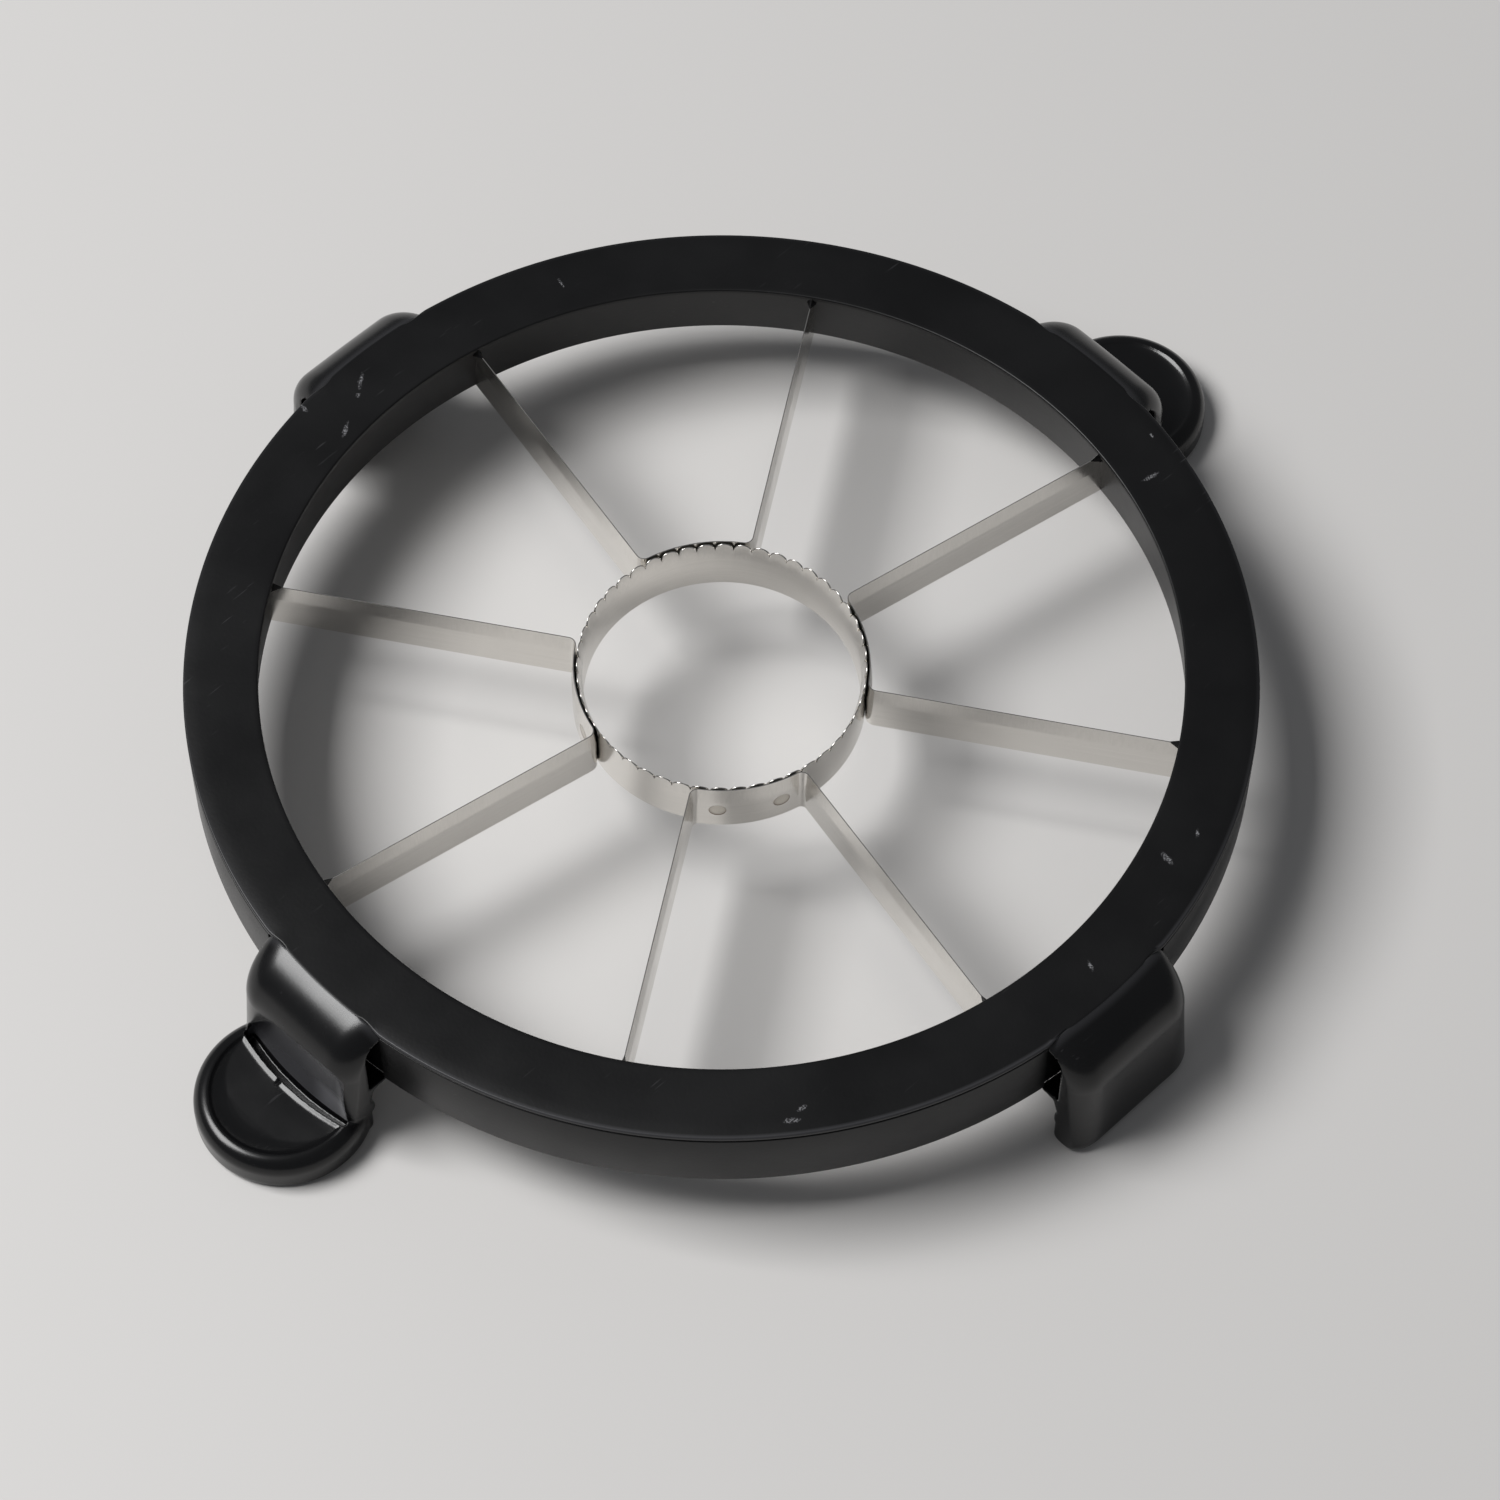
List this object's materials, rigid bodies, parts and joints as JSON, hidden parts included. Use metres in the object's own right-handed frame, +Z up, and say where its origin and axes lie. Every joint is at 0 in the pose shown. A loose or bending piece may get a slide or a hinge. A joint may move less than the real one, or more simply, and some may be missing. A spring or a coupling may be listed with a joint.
{
  "type": "apple slicer wedger insert",
  "caption": "Round apple slicing frame: thin steel blades run from a plastic ring to a serrated core ring, and sprung arms with thumb tabs snap it onto a press.",
  "frame": {"origin": "on the table that the feet of the arms stand on, under the centre of the ring", "axes": "+Z up along the axis of the ring, out of the cutting edges; the thumb tabs lie along +X and -X and the plain hooks along +Y and -Y"},
  "size_m": [0.143, 0.122, 0.0172],
  "materials": {
    "cover_plastic": "satin",
    "body_plastic": "satin",
    "arm_plastic": "semi-gloss",
    "core_steel": "satin stainless steel",
    "blade_steel": "satin stainless steel"
  },
  "bodies": {
    "frame": {"ring_cover": "cover_plastic", "ring_body": "body_plastic", "core_ring": "core_steel", "blade_strip_1": "blade_steel", "blade_strip_2": "blade_steel", "blade_strip_3": "blade_steel", "blade_strip_4": "blade_steel"},
    "latch_left": {"latch_arm_left": "arm_plastic"},
    "latch_right": {"latch_arm_right": "arm_plastic"},
    "hook_front": {"hook_arm_front": "arm_plastic"},
    "hook_rear": {"hook_arm_rear": "arm_plastic"}
  },
  "joints": [
    {"name": "latch_right_flex", "type": "hinge", "parent": "frame", "child": "latch_right", "pos_m": [0.05615, 0, 0.01645], "axis": [0, -1, 0], "range_deg": [-3, 7], "stiffness_Nm_per_rad": 0.8},
    {"name": "latch_left_flex", "type": "hinge", "parent": "frame", "child": "latch_left", "pos_m": [-0.05615, 0, 0.01645], "axis": [0, 1, 0], "range_deg": [-3, 7], "stiffness_Nm_per_rad": 0.8},
    {"name": "hook_rear_flex", "type": "hinge", "parent": "frame", "child": "hook_rear", "pos_m": [0, 0.05615, 0.01645], "axis": [1, 0, 0], "range_deg": [-3, 7], "stiffness_Nm_per_rad": 0.8},
    {"name": "hook_front_flex", "type": "hinge", "parent": "frame", "child": "hook_front", "pos_m": [0, -0.05615, 0.01645], "axis": [-1, 0, 0], "range_deg": [-3, 7], "stiffness_Nm_per_rad": 0.8}
  ]
}
